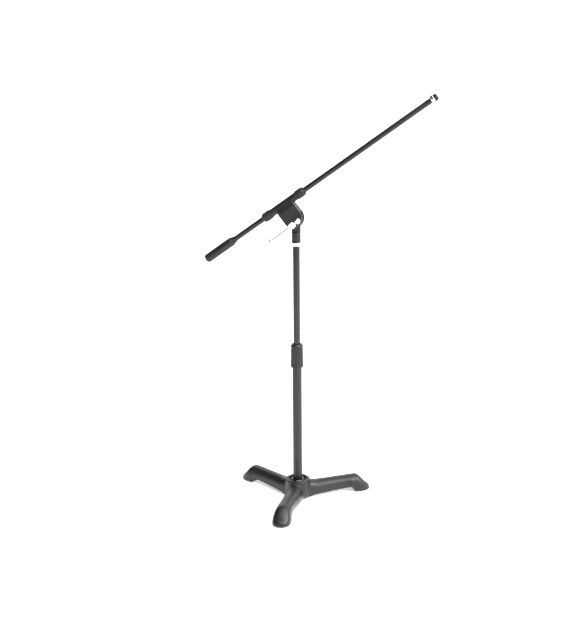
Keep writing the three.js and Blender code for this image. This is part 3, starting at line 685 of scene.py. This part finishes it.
cheek_outline = [(-CHEEK_REAR - 1 + CHEEK_INSET, BOOM_OFFSET)]
cheek_outline += cheek_quarter(CHEEK_REAR, CHEEK_ROUND_REAR, 2)
cheek_outline += cheek_quarter(CHEEK_FRONT, CHEEK_ROUND_FRONT, 3)[1:]
cheek_outline += [(CHEEK_FRONT - 2 - CHEEK_INSET, BOOM_OFFSET)]
neck_from = BOOM_OFFSET - NECK_DROP
plate = prism("plate", cheek_outline, 2 * BRACKET_HALF - 0.2, moved(PIN, z=-BRACKET_HALF + 0.1))
envelope_outline = [
    (-BRACKET_HALF, -CHEEK_FOOT - 3), (BRACKET_HALF, -CHEEK_FOOT - 3), (BRACKET_HALF, neck_from),
    (BARREL_RADIUS - 0.4, BOOM_OFFSET), (-BARREL_RADIUS + 0.4, BOOM_OFFSET), (-BRACKET_HALF, neck_from)]
SIDEWAYS = SWIVEL @ Matrix(((0, 0, 1, 0), (1, 0, 0, 0), (0, 1, 0, 0), (0, 0, 0, 1)))
envelope = prism("envelope", envelope_outline, 80, moved(SIDEWAYS, z=-40))
cut_by(plate, [envelope], "INTERSECT")
barrel = lathe("barrel", eased([
    (0, -BARREL_HALF), (BARREL_RADIUS, -BARREL_HALF), (BARREL_RADIUS, BARREL_HALF), (0, BARREL_HALF)],
    0.4), BOOM)
bracket = cast("boom_bracket_casting", [plate, barrel], voxel=0.5, softening=2)
slot_half = TONGUE_HALF + DISC_GAP + DISC_THICKNESS + DISC_GAP
slot_height = SLOT_ROOF + CHEEK_FOOT + 2
machined(bracket, [
    box_solid("slot", 60, 2 * slot_half, slot_height, moved(SWIVEL, z=SLOT_ROOF - slot_height / 2)),
    lathe("barrel_bore", [(0, -60), (BARREL_BORE, -60), (BARREL_BORE, 60), (0, 60)], BOOM),
    lathe("cheek_hole", [(0, -20), (PIN_HOLE, -20), (PIN_HOLE, 20), (0, 20)], PIN, 48),
])
place_piece(bracket, "bracket", ["boom_bracket"], "black_casting")

NOSE_RADIUS, NOSE_LENGTH = 8.1, 11.0
nose_low, nose_high = BARREL_HALF - 0.3, BARREL_HALF + NOSE_LENGTH
cut_nose = thread_relief(nose_low + 1, nose_high - 0.6, pitch=1.5, cut=0.45)


def nose_thread(angle, r, z):
    """The thread round the outside of a nose, and none in its bore."""
    return cut_nose(angle, r, z) if r > NOSE_RADIUS - 0.6 else (r, z)


for side, frame_of in (("front", BOOM), ("rear", BOOM_BACK)):
    nose = lathe(f"bracket_thread_{side}", finer(eased([
        (BARREL_BORE, nose_low), (NOSE_RADIUS, nose_low), (NOSE_RADIUS, nose_high),
        (BARREL_BORE, nose_high)], 0.3), 0.25), frame_of, 64, nose_thread, 60)
    place_piece(nose, "bracket", ["boom_bracket"], "black_casting")

# ---------------------------------------------------------------- clamp nuts
NUT_RADIUS, NUT_LENGTH, ROD_RADIUS, ROD_WALL = 10.7, 22.0, 6.1, 1.2
NUT_RIBS, NUT_GROOVE = 20, 0.55
nut_low, nut_high = BARREL_HALF + GAP, BARREL_HALF + NUT_LENGTH


def nut_ribs(angle, r, z):
    """Shallow grooves between ribs that stop short of the nut's ends."""
    if r < NUT_RADIUS - 0.4:
        return r, z
    inside = smoothstep(z, nut_low + 2.2, nut_low + 3.4)
    inside *= 1 - smoothstep(z, nut_high - 6.6, nut_high - 5.2)
    groove = max(0.0, math.cos(angle * NUT_RIBS)) ** 1.5
    return r - NUT_GROOVE * inside * groove, z


for side, frame_of in (("front", BOOM), ("rear", BOOM_BACK)):
    nut = lathe(f"clamp_nut_{side}_ribbed", finer(eased([
        (8.4, nut_low), (NUT_RADIUS - 0.8, nut_low), (NUT_RADIUS, nut_low + 0.8),
        (NUT_RADIUS, nut_high - 4.5), (NUT_RADIUS - 2.6, nut_high), (ROD_RADIUS + 0.5, nut_high),
        (ROD_RADIUS + 0.5, nut_high - 1.6), (7.5, nut_high - 1.8), (8.6, nut_low + 12.6),
        (8.4, nut_low + 11.2)], 0.45), 0.7), frame_of, 240, nut_ribs, 50)
    place_piece(nut, f"clamp_nut_{side}", [f"clamp_nut_{side}"], "black_plastic")

# ---------------------------------------------------------------- boom rod, weight and tip
ROD_REAR, TIP_START, TIP_LENGTH, TIP_RADIUS, TIP_END = -188.0, 400.0, 7.4, 9.3, 414.5
WEIGHT_RADIUS, WEIGHT_OUTER, WEIGHT_INNER, WEIGHT_CONE = 10.2, -226.5, -149.0, -141.6
rod_inside = ROD_RADIUS - ROD_WALL
rod = lathe("boom_rod_steel", eased([
    (rod_inside, ROD_REAR), (ROD_RADIUS, ROD_REAR), (ROD_RADIUS, TIP_START - GAP),
    (rod_inside, TIP_START - GAP)], 0.3), BOOM)
place_piece(rod, "boom", ["boom_rod"], "boom_tube")

weight = lathe("counterweight_turned", eased([
    (0, WEIGHT_OUTER), (WEIGHT_RADIUS - 2.8, WEIGHT_OUTER), (WEIGHT_RADIUS, WEIGHT_OUTER + 3.4),
    (WEIGHT_RADIUS, WEIGHT_INNER - 1.5), (WEIGHT_RADIUS - 1.2, WEIGHT_INNER),
    (ROD_RADIUS + 1, WEIGHT_CONE), (ROD_RADIUS + GAP, WEIGHT_CONE), (ROD_RADIUS + GAP, ROD_REAR - GAP),
    (0, ROD_REAR - GAP)], 0.4), BOOM, 128)
place_piece(weight, "boom", ["counterweight"], "black_casting")

tip_high = TIP_START + TIP_LENGTH
tip_ring = lathe("tip_collar_ring", eased([
    (ROD_RADIUS + GAP, TIP_START), (TIP_RADIUS - 0.8, TIP_START), (TIP_RADIUS, TIP_START + 0.8),
    (TIP_RADIUS, tip_high - 0.8), (TIP_RADIUS - 0.8, tip_high), (ROD_RADIUS + GAP, tip_high)], 0.35),
    BOOM, 128)
place_piece(tip_ring, "boom", ["tip_collar"], "chrome")

PLUG_LENGTH, TIP_HOLE_RADIUS, TIP_HOLE_DEPTH = 24.0, 4.2, 5.0
cut_tip = thread_relief(tip_high + 1.0, TIP_END - 0.5, pitch=0.94, cut=0.55)


def microphone_thread(angle, r, z):
    """The thread on the tip's outside, and none on the plug inside the rod."""
    return cut_tip(angle, r, z) if r > STUD_RADIUS - 0.9 else (r, z)


tip_thread = lathe("tip_thread_screw", finer(eased([
    (0, TIP_START - PLUG_LENGTH), (rod_inside - GAP, TIP_START - PLUG_LENGTH),
    (rod_inside - GAP, TIP_START),
    (ROD_RADIUS, TIP_START), (ROD_RADIUS, tip_high + GAP), (STUD_RADIUS, tip_high + GAP),
    (STUD_RADIUS, TIP_END - 0.8), (STUD_RADIUS - 0.8, TIP_END), (TIP_HOLE_RADIUS, TIP_END),
    (TIP_HOLE_RADIUS, TIP_END - TIP_HOLE_DEPTH), (0, TIP_END - TIP_HOLE_DEPTH)], 0.2), 0.16),
    BOOM, 96, microphone_thread, 60)
place_piece(tip_thread, "boom", ["tip_thread"], "black_casting")

# ---------------------------------------------------------------- T-handle
SCREW_RADIUS, HEAD_RADIUS, HEAD_LENGTH, HEAD_CENTRE = 4.0, 7.7, 14.0, 39.5
BAR_RADIUS, BALL_RADIUS, SHORT_BALL, LONG_BALL, BAR_TILT = 2.2, 6.5, 15.6, -61.8, 2.5
SCREW_END, NECK_RADIUS, HANDLE_WASHER_RADIUS, BAR_CLEARANCE = 8.5, 5.2, 10.5, 0.25
NUT_HEIGHT, BALL_SOCKET, BALL_STEPS = 6.2, 5.0, 40
handle_washer_top = BRACKET_HALF + GAP + 2
head_low, head_high = HEAD_CENTRE - HEAD_LENGTH / 2, HEAD_CENTRE + HEAD_LENGTH / 2
screw = lathe("pivot_screw_turned", eased([
    (0, -BRACKET_HALF - SCREW_END), (SCREW_RADIUS - 0.6, -BRACKET_HALF - SCREW_END),
    (SCREW_RADIUS, -BRACKET_HALF - SCREW_END + 0.6), (SCREW_RADIUS, handle_washer_top + GAP),
    (NECK_RADIUS, handle_washer_top + GAP), (NECK_RADIUS, head_low - 2),
    (HEAD_RADIUS - 0.6, head_low), (HEAD_RADIUS, head_low + 1), (HEAD_RADIUS, head_high - 1.8),
    (HEAD_RADIUS - 1.8, head_high), (0, head_high)], 0.7, 6), PIN, 128)
AT_HEAD = moved(SWIVEL, y=-HEAD_CENTRE) @ Matrix.Rotation(TAU / 4 - math.radians(BAR_TILT), 4, "Y")
machined(screw, [lathe("bar_hole", [
    (0, -12), (BAR_RADIUS + BAR_CLEARANCE, -12), (BAR_RADIUS + BAR_CLEARANCE, 12), (0, 12)],
    AT_HEAD, 64)])
place_piece(screw, "pivot_screw", ["pivot_screw"], "chrome")

handle_washer = lathe("pivot_washer_disc", eased([
    (SCREW_RADIUS + GAP, BRACKET_HALF + GAP), (HANDLE_WASHER_RADIUS, BRACKET_HALF + GAP),
    (HANDLE_WASHER_RADIUS, handle_washer_top - 0.2), (HANDLE_WASHER_RADIUS - 0.6, handle_washer_top),
    (NECK_RADIUS + 0.7, handle_washer_top), (SCREW_RADIUS + GAP, handle_washer_top - 0.5)],
    0.45, 5), PIN, 128)
place_piece(handle_washer, "pivot_screw", ["pivot_washer"], "black_oxide")

nut_face = -BRACKET_HALF - GAP
pivot_nut = hexagon_solid("pivot_nut_hex", HEXAGON_FLATS, nut_face - NUT_HEIGHT, nut_face, PIN,
                          SCREW_RADIUS + GAP)
place_piece(pivot_nut, "bracket", ["pivot_nut"], "zinc_plate")

bar = lathe("t_bar_rod", eased([
    (0, LONG_BALL + BALL_SOCKET), (BAR_RADIUS, LONG_BALL + BALL_SOCKET),
    (BAR_RADIUS, SHORT_BALL - BALL_SOCKET), (0, SHORT_BALL - BALL_SOCKET)], 0.5), AT_HEAD, 64)
place_piece(bar, "t_bar", ["t_bar"], "bar_steel")

socket = BAR_RADIUS + GAP
for name, centre, mouth in (("short", SHORT_BALL, -1), ("long", LONG_BALL, 1)):
    first = math.asin(socket / BALL_RADIUS)
    turns = [first + (math.pi - first) * k / BALL_STEPS for k in range(BALL_STEPS)]
    hole_end = centre + mouth * (BALL_SOCKET + GAP)
    profile = [(0, hole_end), (socket, hole_end)]
    profile += [(BALL_RADIUS * math.sin(turn), centre + mouth * BALL_RADIUS * math.cos(turn))
                for turn in turns]
    profile.append((0, centre - mouth * BALL_RADIUS))
    ball = lathe(f"t_bar_ball_{name}_turned", profile, AT_HEAD)
    place_piece(ball, "t_bar", [f"t_bar_ball_{name}"], "chrome")

# ---------------------------------------------------------------- pieces that stay as CAD solids
for node, slot in (
        ("tube_plug", "zinc_plate"), ("clutch_sleeve", "zinc_plate"), ("top_stud", "zinc_plate"),
        ("clutch_collet", "nylon"), ("tube_glide", "nylon"), ("boom_collet_front", "nylon"),
        ("boom_collet_rear", "nylon")):
    carried = frame["nodes"][node]
    carried.data.materials.clear()
    carried.data.materials.append(FINISHES[slot])

# ---------------------------------------------------------------- floor, light and camera
SWEEP_START, SWEEP_RADIUS, SWEEP_TOP, SWEEP_STEPS, FLOOR_HALF = 6.0, 3.0, 9.0, 24, 20.0
sweep = [(-FLOOR_HALF, 0.0), (SWEEP_START, 0.0)]
for k in range(1, SWEEP_STEPS + 1):
    turn = TAU / 4 * k / SWEEP_STEPS
    sweep.append((SWEEP_START + SWEEP_RADIUS * math.sin(turn), SWEEP_RADIUS * (1 - math.cos(turn))))
sweep.append((SWEEP_START + SWEEP_RADIUS, SWEEP_TOP))
floor_mesh = bpy.data.meshes.new("floor")
floor_mesh.from_pydata(
    [(x, y, z) for y, z in sweep for x in (-FLOOR_HALF, FLOOR_HALF)], [],
    [(2 * k, 2 * k + 1, 2 * k + 3, 2 * k + 2) for k in range(len(sweep) - 1)])
floor_mesh.shade_smooth()
floor = bpy.data.objects.new("floor", floor_mesh)
bpy.context.scene.collection.objects.link(floor)
floor_material, _, _, floor_shader = new_material("pale_floor")
floor_shader.inputs["Base Color"].default_value = (0.93, 0.93, 0.93, 1)
floor_shader.inputs["Roughness"].default_value = 0.9
floor_shader.inputs["Specular IOR Level"].default_value = 0.0
floor_shader.inputs["Emission Color"].default_value = (1, 1, 1, 1)
floor_shader.inputs["Emission Strength"].default_value = 0.5
floor_mesh.materials.append(floor_material)

world = bpy.data.worlds.new("studio")
bpy.context.scene.world = world
world.use_nodes = True
sky, sky_links = world.node_tree.nodes, world.node_tree.links
direction = sky.new("ShaderNodeTexCoord").outputs["Generated"]


def sky_strength(toward, start, end, away, near):
    """The sky's strength, eased from away to near as its direction turns towards the one given."""
    lean = sky.new("ShaderNodeVectorMath")
    lean.operation = "DOT_PRODUCT"
    lean.inputs[1].default_value = Vector(toward).normalized()
    sky_links.new(direction, lean.inputs[0])
    return spread(sky, sky_links, lean.outputs["Value"], away, near, start, end, "SMOOTHSTEP")


lit_side = sky_strength((0.85, 0.0, 0.5), -0.1, 1.0, 0.1, 3.2)
dim_front = sky_strength((0.15, -0.95, 0.25), 0.8, 0.96, 1.0, 0.25)
sky_links.new(combined(sky, sky_links, "MULTIPLY", lit_side, dim_front),
              sky["Background"].inputs["Strength"])
sky["Background"].inputs["Color"].default_value = (1, 1, 1, 1)


def soft_light(name, place, aim, size, power):
    lamp = bpy.data.lights.new(name, "AREA")
    lamp.shape = "RECTANGLE"
    lamp.size, lamp.size_y = size
    lamp.energy = power
    obj = bpy.data.objects.new(name, lamp)
    obj.location = place
    obj.rotation_euler = (Vector(aim) - Vector(place)).to_track_quat("-Z", "Y").to_euler()
    bpy.context.scene.collection.objects.link(obj)


soft_light("key", place=(2.4, -1.1, 2.2), aim=(0, 0, 0.3), size=(0.7, 1.6), power=100)
soft_light("top", place=(0.3, -1.9, 2.6), aim=(0, 0, 0), size=(1.5, 1.1), power=60)

# The camera stands to the right of the mast's front, a little above the boom, and looks down.
CAMERA_TURN, CAMERA_YAW = math.radians(13.38), math.radians(1.01)
CAMERA_PITCH, CAMERA_ROLL = math.radians(15.58), math.radians(-0.1)
CAMERA_DISTANCE, CAMERA_HEIGHT = 2.460, 1.0951
SENSOR, LENS, SHIFT_X, SHIFT_Y = 36.0, 62.18, -0.0384, 0.0175
camera = bpy.data.objects.new("camera", bpy.data.cameras.new("camera"))
bpy.context.scene.collection.objects.link(camera)
camera.data.sensor_width = SENSOR
camera.data.lens = LENS
camera.data.shift_x = SHIFT_X
camera.data.shift_y = SHIFT_Y
camera.data.clip_end = 100
camera.location = (mast_foot.x + CAMERA_DISTANCE * math.sin(CAMERA_TURN),
                   mast_foot.y - CAMERA_DISTANCE * math.cos(CAMERA_TURN), CAMERA_HEIGHT)
heading = CAMERA_TURN - CAMERA_YAW
view_turn = Matrix.Rotation(heading, 4, "Z") @ Matrix.Rotation(TAU / 4 - CAMERA_PITCH, 4, "X")
camera.rotation_euler = (view_turn @ Matrix.Rotation(CAMERA_ROLL, 4, "Z")).to_euler()
bpy.context.scene.camera = camera
bpy.context.scene.view_settings.view_transform = "Standard"
